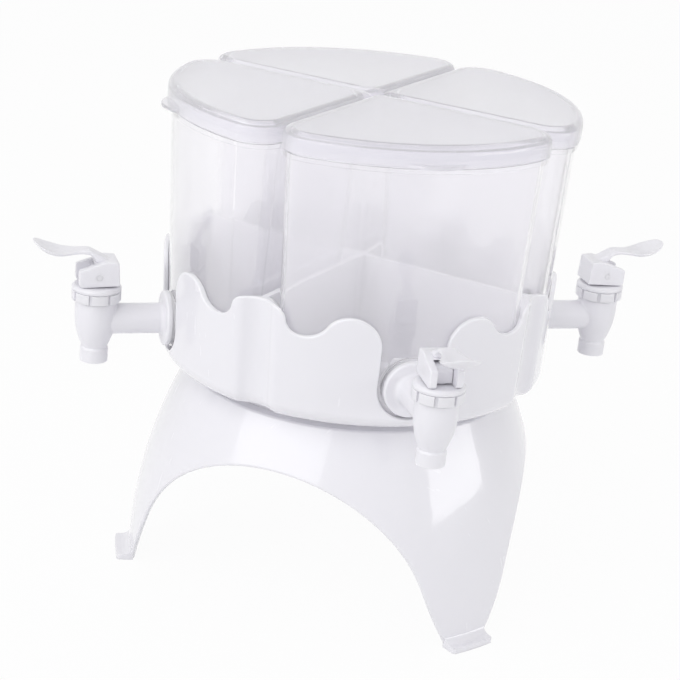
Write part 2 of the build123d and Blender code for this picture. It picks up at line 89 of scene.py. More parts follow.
class EffectLibrary:
    """Builds each shared shader node group once and hands it out."""

    def __init__(self) -> None:
        """Starts with no groups built."""
        self.groups: dict[Effect, NodeTree] = {}

    def group(self, effect: Effect) -> NodeTree:
        """Gives the node group of an effect.

        Args:
            effect: The effect to find or build.

        Returns:
            The shader node group.
        """
        makers: dict[Effect, Callable[[], NodeTree]] = {
            Effect.MOULDED_SKIN: self.moulded_skin,
            Effect.HANDLING_MARKS: self.handling_marks,
            Effect.FLOW_LINES: self.flow_lines,
        }
        if effect not in self.groups:
            self.groups[effect] = makers[effect]()
        return self.groups[effect]

    @staticmethod
    def start(effect: Effect, values: dict[str, float], colours: Sequence[str],
              results: dict[str, str]) -> tuple[NodeTree, bpy.types.Node, bpy.types.Node]:
        """Opens a shader node group with its sockets.

        Args:
            effect: The effect that names the group.
            values: Number inputs with their defaults.
            colours: Names of the colour inputs.
            results: Output names with their socket types.

        Returns:
            The group, its input node and its output node.
        """
        tree = bpy.data.node_groups.new(effect.value, "ShaderNodeTree")
        for name in colours:
            tree.interface.new_socket(name=name, in_out="INPUT", socket_type="NodeSocketColor")
        for name, value in values.items():
            socket = tree.interface.new_socket(name=name, in_out="INPUT", socket_type="NodeSocketFloat")
            socket.default_value = value
        for name, kind in results.items():
            tree.interface.new_socket(name=name, in_out="OUTPUT", socket_type=kind)
        return tree, tree.nodes.new("NodeGroupInput"), tree.nodes.new("NodeGroupOutput")

    def moulded_skin(self) -> NodeTree:
        """Builds the cloudy colour, soft gloss changes and fine orange-peel height of moulded plastic.

        Returns:
            The shader node group.
        """
        values = {
            "Cloud scale": 14.0,
            "Cloud depth": 0.02,
            "Peel scale": 900.0,
            "Gloss": 0.25,
            "Gloss spread": 0.05,
        }
        results = {
            "Color": "NodeSocketColor",
            "Roughness": "NodeSocketFloat",
            "Height": "NodeSocketFloat",
        }
        tree, inlet, outlet = self.start(Effect.MOULDED_SKIN, values, ["Color"], results)
        place = tree.nodes.new("ShaderNodeTexCoord").outputs["Object"]
        cloud = noise(tree, place, inlet.outputs["Cloud scale"], detail=3.0)
        peel = noise(tree, place, inlet.outputs["Peel scale"], detail=2.0)
        shade = math_node(tree, "MULTIPLY_ADD", cloud, inlet.outputs["Cloud depth"], 1.0)
        half = math_node(tree, "MULTIPLY", inlet.outputs["Cloud depth"], 0.5)
        shade = math_node(tree, "SUBTRACT", shade, half)
        tint = tree.nodes.new("ShaderNodeVectorMath")
        tint.operation = "SCALE"
        tree.links.new(inlet.outputs["Color"], tint.inputs[0])
        tree.links.new(shade, tint.inputs["Scale"])
        tree.links.new(tint.outputs["Vector"], outlet.inputs["Color"])
        spread = math_node(tree, "MULTIPLY_ADD", cloud, inlet.outputs["Gloss spread"], inlet.outputs["Gloss"])
        tree.links.new(spread, outlet.inputs["Roughness"])
        tree.links.new(peel, outlet.inputs["Height"])
        return tree

    def handling_marks(self) -> NodeTree:
        """Builds the mask of sparse hairline rub marks from washing and handling.

        Returns:
            The shader node group.
        """
        values = {"Scale": 60.0, "Amount": 0.5}
        slant = (0.3, 0.5, 0.7)
        narrowing = (1.0, 9.0, 1.0)
        faintest, fullest = 0.62, 0.78
        tree, inlet, outlet = self.start(Effect.HANDLING_MARKS, values, [], {"Mask": "NodeSocketFloat"})
        place = tree.nodes.new("ShaderNodeTexCoord").outputs["Object"]
        stretch = tree.nodes.new("ShaderNodeMapping")
        stretch.inputs["Rotation"].default_value = slant
        stretch.inputs["Scale"].default_value = narrowing
        tree.links.new(place, stretch.inputs["Vector"])
        lines = noise(tree, stretch.outputs["Vector"], inlet.outputs["Scale"], detail=4.0)
        ramp = tree.nodes.new("ShaderNodeValToRGB")
        ramp.color_ramp.elements[0].position = faintest
        ramp.color_ramp.elements[1].position = fullest
        tree.links.new(lines, ramp.inputs["Fac"])
        mask = math_node(tree, "MULTIPLY", ramp.outputs["Color"], inlet.outputs["Amount"])
        tree.links.new(mask, outlet.inputs["Mask"])
        return tree

    def flow_lines(self) -> NodeTree:
        """Builds the height of the faint upright waves that a long moulded wall keeps from its filling.

        Returns:
            The shader node group.
        """
        values = {"Scale": 22.0, "Stretch": 0.12}
        tree, inlet, outlet = self.start(Effect.FLOW_LINES, values, [], {"Height": "NodeSocketFloat"})
        place = tree.nodes.new("ShaderNodeTexCoord").outputs["Object"]
        parts = tree.nodes.new("ShaderNodeSeparateXYZ")
        whole = tree.nodes.new("ShaderNodeCombineXYZ")
        tree.links.new(place, parts.inputs["Vector"])
        tree.links.new(parts.outputs["X"], whole.inputs["X"])
        tree.links.new(parts.outputs["Y"], whole.inputs["Y"])
        drawn = math_node(tree, "MULTIPLY", parts.outputs["Z"], inlet.outputs["Stretch"])
        tree.links.new(drawn, whole.inputs["Z"])
        waves = noise(tree, whole.outputs["Vector"], inlet.outputs["Scale"], detail=1.5)
        tree.links.new(waves, outlet.inputs["Height"])
        return tree


def feed(tree: NodeTree, value: Socket | float, socket: Socket) -> None:
    """Links a socket to an input, or sets the input to a number.

    Args:
        tree: The tree that holds both.
        value: The socket or number.
        socket: The input.
    """
    if isinstance(value, bpy.types.NodeSocket):
        tree.links.new(value, socket)
    else:
        socket.default_value = value


def math_node(tree: NodeTree, operation: str, *values: Socket | float) -> Socket:
    """Adds a math node.

    Args:
        tree: The tree that gets the node.
        operation: The math operation.
        values: Its inputs in order, as sockets or numbers.

    Returns:
        The node's result.
    """
    node = tree.nodes.new("ShaderNodeMath")
    node.operation = operation
    for value, socket in zip(values, node.inputs):
        feed(tree, value, socket)
    return node.outputs["Value"]


def noise(tree: NodeTree, place: Socket, scale: Socket | float, detail: float) -> Socket:
    """Adds a noise texture.

    Args:
        tree: The tree that gets the node.
        place: The coordinates it reads.
        scale: Its scale.
        detail: Its octaves.

    Returns:
        The grey value of the noise.
    """
    node = tree.nodes.new("ShaderNodeTexNoise")
    node.inputs["Detail"].default_value = detail
    tree.links.new(place, node.inputs["Vector"])
    feed(tree, scale, node.inputs["Scale"])
    return node.outputs["Fac"]


effects = EffectLibrary()


def place_group(tree: NodeTree, effect: Effect, **values: float | Sequence[float]) -> bpy.types.Node:
    """Places a shared node group in a material.

    Args:
        tree: The material's tree.
        effect: The effect to place.
        values: Values of its inputs, with underscores for spaces.

    Returns:
        The group node.
    """
    node = tree.nodes.new("ShaderNodeGroup")
    node.node_tree = effects.group(effect)
    for name, value in values.items():
        node.inputs[name.replace("_", " ").capitalize()].default_value = value
    return node


def bump(tree: NodeTree, height: Socket, strength: float, distance: float) -> bpy.types.Node:
    """Adds a bump node on a height.

    Args:
        tree: The tree that gets the node.
        height: The height to read.
        strength: How strongly it tilts the surface.
        distance: Depth of the relief in metres.

    Returns:
        The bump node.
    """
    node = tree.nodes.new("ShaderNodeBump")
    node.inputs["Strength"].default_value = strength
    node.inputs["Distance"].default_value = distance
    tree.links.new(height, node.inputs["Height"])
    return node


def blank_material(name: str) -> tuple[bpy.types.Material, NodeTree, bpy.types.Node]:
    """Makes a material with a lone Principled shader.

    Args:
        name: The material's name.

    Returns:
        The material, its tree and its Principled shader.
    """
    material = bpy.data.materials.new(name)
    material.use_nodes = True
    tree = material.node_tree
    tree.nodes.clear()
    shader = tree.nodes.new("ShaderNodeBsdfPrincipled")
    outlet = tree.nodes.new("ShaderNodeOutputMaterial")
    tree.links.new(shader.outputs["BSDF"], outlet.inputs["Surface"])
    return material, tree, shader


@dataclass(frozen=True)
class MouldedPlastic:
    """Opaque moulded plastic with a fine skin, rub marks and a gloss coat."""

    name: str
    colour: Colour
    gloss: float
    coat: float
    peel_strength: float = 0.12
    marks: float = 0.015
    subsurface: float = 0.3
    peel_depth: float = 0.0001
    refraction: float = 1.5
    coat_roughness: float = 0.06
    scatter_depth: float = 0.003

    def make(self) -> bpy.types.Material:
        """Builds the material.

        Returns:
            The material.
        """
        material, tree, shader = blank_material(self.name)
        skin = place_group(tree, Effect.MOULDED_SKIN, color=(*self.colour, 1.0), gloss=self.gloss)
        rubs = place_group(tree, Effect.HANDLING_MARKS, amount=self.marks)
        rough = math_node(tree, "ADD", skin.outputs["Roughness"], rubs.outputs["Mask"])
        tree.links.new(skin.outputs["Color"], shader.inputs["Base Color"])
        tree.links.new(rough, shader.inputs["Roughness"])
        relief = bump(tree, skin.outputs["Height"], self.peel_strength, self.peel_depth)
        tree.links.new(relief.outputs["Normal"], shader.inputs["Normal"])
        shader.inputs["IOR"].default_value = self.refraction
        shader.inputs["Coat Weight"].default_value = self.coat
        shader.inputs["Coat Roughness"].default_value = self.coat_roughness
        shader.inputs["Subsurface Weight"].default_value = self.subsurface
        shader.inputs["Subsurface Radius"].default_value = (1.0, 1.0, 1.0)
        shader.inputs["Subsurface Scale"].default_value = self.scatter_depth
        return material


@dataclass(frozen=True)
class SheerPlastic:
    """See-through moulded plastic that blurs what stands away from it, with a milky share."""

    name: str
    colour: Colour
    haze: float
    milk: float
    coat: float
    flow: float
    light_through: float
    refraction: float
    gloss_spread: float = 0.04
    marks: float = 0.05
    flow_depth: float = 0.002
    coat_roughness: float = 0.04

    def make(self) -> bpy.types.Material:
        """Builds the material.

        Returns:
            The material.
        """
        material, tree, shader = blank_material(self.name)
        skin = place_group(
            tree,
            Effect.MOULDED_SKIN,
            color=(*self.colour, 1.0),
            gloss=self.haze,
            gloss_spread=self.gloss_spread,
        )
        lines = place_group(tree, Effect.FLOW_LINES)
        rubs = place_group(tree, Effect.HANDLING_MARKS, amount=self.marks)
        rough = math_node(tree, "ADD", skin.outputs["Roughness"], rubs.outputs["Mask"])
        tree.links.new(skin.outputs["Color"], shader.inputs["Base Color"])
        tree.links.new(rough, shader.inputs["Roughness"])
        relief = bump(tree, lines.outputs["Height"], self.flow, self.flow_depth)
        tree.links.new(relief.outputs["Normal"], shader.inputs["Normal"])
        path = tree.nodes.new("ShaderNodeLightPath")
        lighting = math_node(tree, "MAXIMUM", path.outputs["Is Shadow Ray"], path.outputs["Is Diffuse Ray"])
        solid = math_node(tree, "MULTIPLY_ADD", lighting, -self.light_through, 1.0)
        tree.links.new(solid, shader.inputs["Alpha"])
        shader.inputs["IOR"].default_value = self.refraction
        shader.inputs["Transmission Weight"].default_value = 1.0 - self.milk
        shader.inputs["Coat Weight"].default_value = self.coat
        shader.inputs["Coat Roughness"].default_value = self.coat_roughness
        return material


@dataclass(frozen=True)
class DrawnSteel:
    """Bright drawn metal with a fine skin."""

    name: str
    colour: Colour
    gloss: float
    cloud_scale: float = 120.0
    peel_strength: float = 0.1
    peel_depth: float = 0.00005

    def make(self) -> bpy.types.Material:
        """Builds the material.

        Returns:
            The material.
        """
        material, tree, shader = blank_material(self.name)
        skin = place_group(
            tree,
            Effect.MOULDED_SKIN,
            color=(*self.colour, 1.0),
            gloss=self.gloss,
            cloud_scale=self.cloud_scale,
        )
        tree.links.new(skin.outputs["Color"], shader.inputs["Base Color"])
        tree.links.new(skin.outputs["Roughness"], shader.inputs["Roughness"])
        relief = bump(tree, skin.outputs["Height"], self.peel_strength, self.peel_depth)
        tree.links.new(relief.outputs["Normal"], shader.inputs["Normal"])
        shader.inputs["Metallic"].default_value = 1.0
        return material


class Finish(Enum):
    """The finishes of the dispenser's pieces."""

    WHITE = MouldedPlastic("White gloss plastic", (0.84, 0.832, 0.875), gloss=0.24, coat=0.9)
    TAP_WHITE = MouldedPlastic("White tap plastic", (0.84, 0.832, 0.875), gloss=0.3, coat=0.2)
    CLEAR = SheerPlastic(
        "Clear tank plastic",
        (0.985, 0.978, 1.0),
        haze=0.05,
        milk=0.14,
        coat=1.0,
        flow=0.35,
        light_through=0.98,
        refraction=1.49,
    )
    FROSTED = SheerPlastic(
        "Frosted lid plastic",
        (0.918, 0.91, 0.948),
        haze=0.15,
        milk=0.25,
        coat=0.3,
        flow=0.1,
        light_through=0.96,
        refraction=1.28,
    )
    SILICONE = MouldedPlastic(
        "White silicone",
        (0.86, 0.855, 0.88),
        gloss=0.5,
        coat=0.0,
        peel_strength=0.05,
        marks=0.02,
        subsurface=0.2,
    )
    GLIDE = MouldedPlastic("Matt glide plastic", (0.84, 0.832, 0.87), gloss=0.55, coat=0.0)
    STEEL = DrawnSteel("Drawn spring steel", (0.62, 0.62, 0.64), gloss=0.28)


class Wardrobe:
    """Makes each finish once and puts it on pieces."""

    def __init__(self) -> None:
        """Builds every finish."""
        self.materials = {finish: finish.value.make() for finish in Finish}

    def dress(self, piece: bpy.types.Object, finish: Finish) -> None:
        """Gives every face of a piece one finish.

        Args:
            piece: The piece to dress.
            finish: Its finish.
        """
        material = self.materials[finish]
        if not piece.material_slots:
            piece.data.materials.append(material)
        for slot in piece.material_slots:
            slot.material = material

    def dress_nodes(self, names: Iterable[str], finish: Finish) -> None:
        """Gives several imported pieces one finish.

        Args:
            names: The pieces' names.
            finish: Their finish.
        """
        for name in names:
            self.dress(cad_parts[name], finish)
            log.info("%s: %s", name, finish.value.name)


@dataclass
class StandAndCarousel:
    """The stand, the glide ring and the turning base with its pivot."""

    def dress(self, wardrobe: Wardrobe) -> None:
        """Puts finishes on the stand and the base.

        Args:
            wardrobe: The finishes.
        """
        wardrobe.dress_nodes(["stand", "base"], Finish.WHITE)
        wardrobe.dress_nodes(["glide_ring", "pivot_washer"], Finish.GLIDE)
        wardrobe.dress_nodes(["pivot_screw"], Finish.STEEL)


@dataclass
class TankUnit:
    """One quarter's tank with its lid."""

    place: Place

    def dress(self, wardrobe: Wardrobe) -> None:
        """Puts finishes on the tank and the lid."""
        wardrobe.dress_nodes([f"{self.place.word}_tank"], Finish.CLEAR)
        wardrobe.dress_nodes([f"{self.place.word}_lid"], Finish.FROSTED)


def add_object(name: str, mesh: bpy.types.Mesh) -> bpy.types.Object:
    """Puts a mesh in the scene as an object at the origin.

    Args:
        name: The object's name.
        mesh: Its mesh.

    Returns:
        The object.
    """
    piece = bpy.data.objects.new(name, mesh)
    bpy.context.collection.objects.link(piece)
    return piece


def settle(piece: bpy.types.Object) -> bpy.types.Mesh:
    """Turns an object with its modifiers into a plain mesh, and takes the object away.

    Args:
        piece: The object to turn.

    Returns:
        The finished mesh.
    """
    sheet = bpy.context.evaluated_depsgraph_get()
    mesh = bpy.data.meshes.new_from_object(piece.evaluated_get(sheet))
    bpy.data.objects.remove(piece)
    return mesh


def smooth_value(points: Outline, at: float) -> float:
    """Reads a smooth line through points that run along the first number.

    Args:
        points: The line's points, in rising order.
        at: Where to read it.

    Returns:
        The line's height there.
    """
    last = len(points) - 2
    index = max(0, min(last, sum(1 for x, _ in points if x <= at) - 1))
    (x0, y0), (x1, y1) = points[index], points[index + 1]
    before = points[max(index - 1, 0)]
    after = points[min(index + 2, last + 1)]
    span = x1 - x0
    slope0 = (y1 - before[1]) / (x1 - before[0]) * span
    slope1 = (after[1] - y0) / (after[0] - x0) * span
    part = (at - x0) / span
    rest = part * part * (3.0 - 2.0 * part)
    bend = part * (1.0 - part)
    return y0 + (y1 - y0) * rest + slope0 * bend * (1.0 - part) - slope1 * bend * part


def skin_rings(shape: bmesh.types.BMesh, rings: Sequence[Sequence[bmesh.types.BMVert]]) -> None:
    """Joins closed rings of points, each to the next, with four-sided faces.

    Args:
        shape: The working shape.
        rings: The rings, with as many points each.
    """
    for ring, following in zip(rings, rings[1:]):
        count = len(ring)
        for index in range(count):
            beside = (index + 1) % count
            shape.faces.new((ring[index], ring[beside], following[beside], following[index]))


def finish_mesh(shape: bmesh.types.BMesh, name: str) -> bpy.types.Mesh:
    """Merges doubles, turns faces outwards and writes a mesh.

    Args:
        shape: The working shape, which is freed.
        name: The mesh's name.

    Returns:
        The mesh.
    """
    bmesh.ops.remove_doubles(shape, verts=shape.verts, dist=MERGE_DISTANCE)
    bmesh.ops.recalc_face_normals(shape, faces=shape.faces)
    mesh = bpy.data.meshes.new(name)
    shape.to_mesh(mesh)
    shape.free()
    return mesh


@dataclass
class GripCollar:
    """Screw collar of a tap: a turned ring with a row of rounded grip pads round it.

    Lengths are in metres, and the turned outline, as radius and height, in millimetres.
    """

    tap_reach: float = 0.1467
    bottom: float = 0.160
    pad_count: int = 8
    pad_gap: float = 0.0017
    pad_radius: float = 0.01245
    pad_depth: float = 0.0018
    pad_height: float = 0.0054
    pad_round: float = 0.0005
    pad_rise: float = 0.0032
    pad_steps: int = 14
    round_steps: int = 3
    segments: int = 96
    ring_crease: float = 50.0
    pad_crease: float = 40.0
    turned: Outline = (
        (9.85, 0.0), (11.75, 0.0), (12.05, 0.3), (12.05, 6.05), (12.9, 6.1), (13.2, 6.25), (13.35, 6.55),
        (13.35, 7.55), (13.22, 7.95), (12.3, 8.78), (11.9, 8.96), (11.5, 9.0), (3.4, 9.0), (3.1, 8.7),
        (3.1, 7.0), (9.85, 7.0),
    )

    def turned_mesh(self) -> bpy.types.Mesh:
        """Builds the plain ring on the origin.

        Returns:
            The ring's mesh.
        """
        shape = bmesh.new()
        rings = []
        for index in range(self.segments):
            turn = 2.0 * math.pi * index / self.segments
            way = Vector((math.cos(turn), math.sin(turn), 0.0))
            ring = []
            for out, up in self.turned:
                height = Vector((0, 0, up / MM_PER_METRE))
                ring.append(shape.verts.new(way * (out / MM_PER_METRE) + height))
            rings.append(ring)
        skin_rings(shape, rings + rings[:1])
        mesh = finish_mesh(shape, "Collar ring")
        mesh.shade_smooth()
        mesh.set_sharp_from_angle(angle=math.radians(self.ring_crease))
        return mesh

    def pad_tree(self, material: bpy.types.Material) -> NodeTree:
        """Builds the nodes that set rounded pads round the ring.

        Args:
            material: The finish of the ring and the pads.

        Returns:
            The geometry node tree.
        """
        tree = bpy.data.node_groups.new("Grip pads", "GeometryNodeTree")
        tree.interface.new_socket(name="Geometry", in_out="INPUT", socket_type="NodeSocketGeometry")
        tree.interface.new_socket(name="Pads", in_out="INPUT", socket_type="NodeSocketInt")
        for name in ("Gap", "Radius", "Depth", "Height", "Round", "Rise"):
            tree.interface.new_socket(name=name, in_out="INPUT", socket_type="NodeSocketFloat")
        tree.interface.new_socket(name="Geometry", in_out="OUTPUT", socket_type="NodeSocketGeometry")
        inlet = tree.nodes.new("NodeGroupInput").outputs
        outlet = tree.nodes.new("NodeGroupOutput")

        pitch = math_node(tree, "DIVIDE", 2.0 * math.pi, inlet["Pads"])
        gap_turn = math_node(tree, "DIVIDE", inlet["Gap"], inlet["Radius"])
        sweep = math_node(tree, "SUBTRACT", pitch, gap_turn)
        arc = tree.nodes.new("GeometryNodeCurveArc")
        arc.inputs["Resolution"].default_value = self.pad_steps
        tree.links.new(inlet["Radius"], arc.inputs["Radius"])
        tree.links.new(math_node(tree, "MULTIPLY", sweep, -0.5), arc.inputs["Start Angle"])
        tree.links.new(sweep, arc.inputs["Sweep Angle"])
        upright = tree.nodes.new("GeometryNodeSetCurveNormal")
        upright.mode = "Z_UP"
        tree.links.new(arc.outputs["Curve"], upright.inputs["Curve"])

        section = tree.nodes.new("GeometryNodeCurvePrimitiveQuadrilateral")
        tree.links.new(inlet["Depth"], section.inputs["Width"])
        tree.links.new(inlet["Height"], section.inputs["Height"])
        rounded = tree.nodes.new("GeometryNodeFilletCurve")
        rounded.mode = "POLY"
        rounded.inputs["Count"].default_value = self.round_steps
        tree.links.new(section.outputs["Curve"], rounded.inputs["Curve"])
        tree.links.new(inlet["Round"], rounded.inputs["Radius"])

        pad = tree.nodes.new("GeometryNodeCurveToMesh")
        pad.inputs["Fill Caps"].default_value = True
        tree.links.new(upright.outputs["Curve"], pad.inputs["Curve"])
        tree.links.new(rounded.outputs["Curve"], pad.inputs["Profile Curve"])
        points = tree.nodes.new("GeometryNodePoints")
        tree.links.new(inlet["Pads"], points.inputs["Count"])
        lift = tree.nodes.new("ShaderNodeCombineXYZ")
        tree.links.new(inlet["Rise"], lift.inputs["Z"])
        tree.links.new(lift.outputs["Vector"], points.inputs["Position"])
        turn = math_node(tree, "MULTIPLY", tree.nodes.new("GeometryNodeInputIndex").outputs["Index"], pitch)
        about = tree.nodes.new("ShaderNodeCombineXYZ")
        tree.links.new(turn, about.inputs["Z"])
        ring = tree.nodes.new("GeometryNodeInstanceOnPoints")
        tree.links.new(points.outputs["Points"], ring.inputs["Points"])
        tree.links.new(pad.outputs["Mesh"], ring.inputs["Instance"])
        tree.links.new(about.outputs["Vector"], ring.inputs["Rotation"])

        joined = tree.nodes.new("GeometryNodeJoinGeometry")
        tree.links.new(inlet["Geometry"], joined.inputs["Geometry"])
        tree.links.new(ring.outputs["Instances"], joined.inputs["Geometry"])
        real = tree.nodes.new("GeometryNodeRealizeInstances")
        tree.links.new(joined.outputs["Geometry"], real.inputs["Geometry"])
        painted = tree.nodes.new("GeometryNodeSetMaterial")
        painted.inputs["Material"].default_value = material
        tree.links.new(real.outputs["Geometry"], painted.inputs["Geometry"])
        tree.links.new(painted.outputs["Geometry"], outlet.inputs["Geometry"])
        return tree

    def build(self, material: bpy.types.Material) -> bpy.types.Mesh:
        """Builds the front tap's collar.

        Args:
            material: Its finish.

        Returns:
            The mesh, in its place on the front tap.
        """
        piece = add_object("Collar at work", self.turned_mesh())
        tree = self.pad_tree(material)
        pads = piece.modifiers.new("Grip pads", "NODES")
        pads.node_group = tree
        sizes = {
            "Pads": self.pad_count,
            "Gap": self.pad_gap,
            "Radius": self.pad_radius,
            "Depth": self.pad_depth,
            "Height": self.pad_height,
            "Round": self.pad_round,
            "Rise": self.pad_rise,
        }
        for socket in tree.interface.items_tree:
            if socket.in_out == "INPUT" and socket.name in sizes:
                pads[socket.identifier] = sizes[socket.name]
        mesh = settle(piece)
        mesh.shade_smooth()
        mesh.set_sharp_from_angle(angle=math.radians(self.pad_crease))
        mesh.transform(Matrix.Translation((0.0, -self.tap_reach, self.bottom)))
        return mesh


@dataclass
class PressLever:
    """Press lever of a tap: a hood over the plunger's eye, and a neck that runs out to a dished paddle.

    Lengths are in millimetres, out from the tap's axis, sideways, and up from the collar's top.
    """

    tap_reach: float = 146.7
    collar_top: float = 169.0
    half_width: float = 8.8
    pocket_half_width: float = 5.2
    pocket_back: float = 7.5
    pocket_front: float = 20.0
    pocket_height: float = 12.5
    pocket_bottom: float = -5.0
    hood_round: float = 0.8
    hood_round_steps: int = 3
    hood_crease: float = 25.0
    heel_round: float = 2.4
    heel_steps: int = 6
    pin_height: float = 6.0
    pin_bore: float = 1.55
    bore_length: float = 30.0
    bore_sides: int = 40
    hood: Outline = (
        (10.8, 0.2), (10.8, 9.5), (-4.0, 14.8), (-10.3, 14.3), (-11.3, 1.2),
    )
    neck_half_width: float = 4.7
    neck_reach: float = 9.0
    paddle_half_width: float = 10.0
    paddle_widest: float = 25.5
    paddle_reach: float = 35.2
    root: float = -8.6
    crown: Outline = (
        (-9.0, 13.0), (-2.6, 16.2), (1.5, 18.4), (5.3, 20.0),
        (12.0, 19.9), (20.0, 20.2), (28.0, 22.3), (36.5, 26.0),
    )
    keel: Outline = (
        (-9.0, 10.5), (1.0, 13.0), (3.5, 16.3), (7.0, 17.5),
        (12.0, 17.7), (20.0, 18.0), (28.0, 20.2), (36.5, 24.6),
    )
    dish_depth: float = 3.0
    dish_share: float = 0.8
    rim_thickness: float = 1.5
    side_fullness: float = 0.7
    edge_fullness: int = 7
    tip_fullness: int = 8
    least_tip: float = 0.05
    station_ease: float = 0.9
    stations: int = 56
    sides: int = 44
    shading_crease: float = 28.0

    def spot(self, out: float, sideways: float, up: float) -> Vector:
        """A point of the front tap in metres, from the lever's own lengths."""
        return Vector((sideways, -(self.tap_reach + out), self.collar_top + up)) / MM_PER_METRE

    def half_breadth(self, out: float) -> float:
        """Gives half the width of the neck or paddle.

        Args:
            out: Distance out from the tap's axis.

        Returns:
            Half the width there.
        """
        if out <= self.neck_reach:
            return self.neck_half_width
        if out <= self.paddle_widest:
            part = (out - self.neck_reach) / (self.paddle_widest - self.neck_reach)
            ease = part * part * (3.0 - 2.0 * part)
            return self.neck_half_width + (self.paddle_half_width - self.neck_half_width) * ease
        part = (out - self.paddle_widest) / (self.paddle_reach - self.paddle_widest)
        return self.paddle_half_width * math.sqrt(max(0.0, 1.0 - part * part))

    def section(self, out: float) -> list[Vector]:
        """Gives the closed section of the neck or paddle.

        Args:
            out: Distance out from the tap's axis.

        Returns:
            The section's points in metres.
        """
        top = smooth_value(self.crown, out)
        under = smooth_value(self.keel, out)
        breadth = self.half_breadth(out)
        spread = max(0.0, (breadth - self.neck_half_width) / (self.paddle_half_width - self.neck_half_width))
        dish = self.dish_depth * spread
        thick = top - under
        tip_part = max(0.0, (out - self.paddle_widest) / (self.paddle_reach - self.paddle_widest))
        tip_ease = math.sqrt(max(0.0, 1.0 - tip_part ** self.tip_fullness))
        points = []
        for index in range(self.sides):
            angle = 2.0 * math.pi * index / self.sides
            across = math.copysign(abs(math.cos(angle)) ** self.side_fullness, math.cos(angle))
            edge = math.sqrt(max(0.0, 1.0 - abs(across) ** self.edge_fullness))
            local = thick + (min(thick, self.rim_thickness) - thick) * spread * across * across
            middle = top - thick / 2 - dish * (1.0 - across * across) * self.dish_share
            half = local / 2 * edge * max(tip_ease, self.least_tip)
            up = middle + (half if math.sin(angle) >= 0 else -half)
            points.append(self.spot(out, breadth * across, up))
        return points

    def spoon_mesh(self) -> bpy.types.Mesh:
        """Builds the neck and paddle as one closed skin.

        Returns:
            The mesh.
        """
        shape = bmesh.new()
        rings = []
        for index in range(self.stations + 1):
            part = index / self.stations
            eased = math.sin(part * math.pi / 2) ** self.station_ease
            out = self.root + (self.paddle_reach - self.root) * eased
            rings.append([shape.verts.new(point) for point in self.section(out)])
        skin_rings(shape, rings)
        shape.faces.new(rings[0])
        shape.faces.new(rings[-1])
        return finish_mesh(shape, "Lever paddle")

    def hood_mesh(self) -> bpy.types.Mesh:
        """Builds the hood's outer block with its rounded heel.

        Returns:
            The mesh.
        """
        heel, rest = self.hood[0], self.hood[1:]
        corner = []
        for index in range(self.heel_steps + 1):
            angle = math.radians(-90 + 90 * index / self.heel_steps)
            corner.append((
                heel[0] - self.heel_round + self.heel_round * math.cos(angle),
                heel[1] + self.heel_round + self.heel_round * math.sin(angle),
            ))
        outline = corner + list(rest)
        shape = bmesh.new()
        near = [shape.verts.new(self.spot(out, self.half_width, up)) for out, up in outline]
        far = [shape.verts.new(self.spot(out, -self.half_width, up)) for out, up in outline]
        shape.faces.new(near)
        shape.faces.new(list(reversed(far)))
        skin_rings(shape, [far, near])
        return finish_mesh(shape, "Lever hood")

    def pocket_mesh(self) -> bpy.types.Mesh:
        """Builds the room for the plunger's eye that is taken out of the hood.

        Returns:
            The mesh.
        """
        shape = bmesh.new()
        bmesh.ops.create_cube(shape, size=1.0)
        low = self.spot(self.pocket_front, -self.pocket_half_width, self.pocket_bottom)
        high = self.spot(-self.pocket_back, self.pocket_half_width, self.pocket_height)
        for vert in shape.verts:
            for axis in range(3):
                vert.co[axis] = low[axis] if vert.co[axis] < 0 else high[axis]
        return finish_mesh(shape, "Lever pocket")

    def bore_mesh(self) -> bpy.types.Mesh:
        """Builds the pin's bore that is taken out of the cheeks.

        Returns:
            The mesh.
        """
        shape = bmesh.new()
        centre = self.spot(0.0, 0.0, self.pin_height)
        place = Matrix.Translation(centre) @ Matrix.Rotation(math.pi / 2, 4, "Y")
        bore = self.pin_bore / MM_PER_METRE
        bmesh.ops.create_cone(
            shape,
            cap_ends=True,
            segments=self.bore_sides,
            radius1=bore,
            radius2=bore,
            depth=self.bore_length / MM_PER_METRE,
            matrix=place,
        )
        return finish_mesh(shape, "Lever pin bore")

    def build(self) -> bpy.types.Mesh:
        """Builds the front tap's lever.

        Returns:
            The mesh, in its place on the front tap.
        """
        piece = add_object("Lever at work", self.hood_mesh())
        soften = piece.modifiers.new("Soft edges", "BEVEL")
        soften.width = self.hood_round / MM_PER_METRE
        soften.segments = self.hood_round_steps
        soften.limit_method = "ANGLE"
        soften.angle_limit = math.radians(self.hood_crease)
        helpers = []
        steps = (
            ("UNION", self.spoon_mesh()),
            ("DIFFERENCE", self.pocket_mesh()),
            ("DIFFERENCE", self.bore_mesh()),
        )
        for operation, mesh in steps:
            helper = add_object(mesh.name, mesh)
            helpers.append(helper)
            cut = piece.modifiers.new(mesh.name, "BOOLEAN")
            cut.operation = operation
            cut.solver = "EXACT"
            cut.object = helper
        mesh = settle(piece)
        for helper in helpers:
            bpy.data.objects.remove(helper)
        mesh.shade_smooth()
        mesh.set_sharp_from_angle(angle=math.radians(self.shading_crease))
        even = add_object("Lever at work", mesh)
        even.modifiers.new("Even shading", "WEIGHTED_NORMAL").keep_sharp = True
        return settle(even)


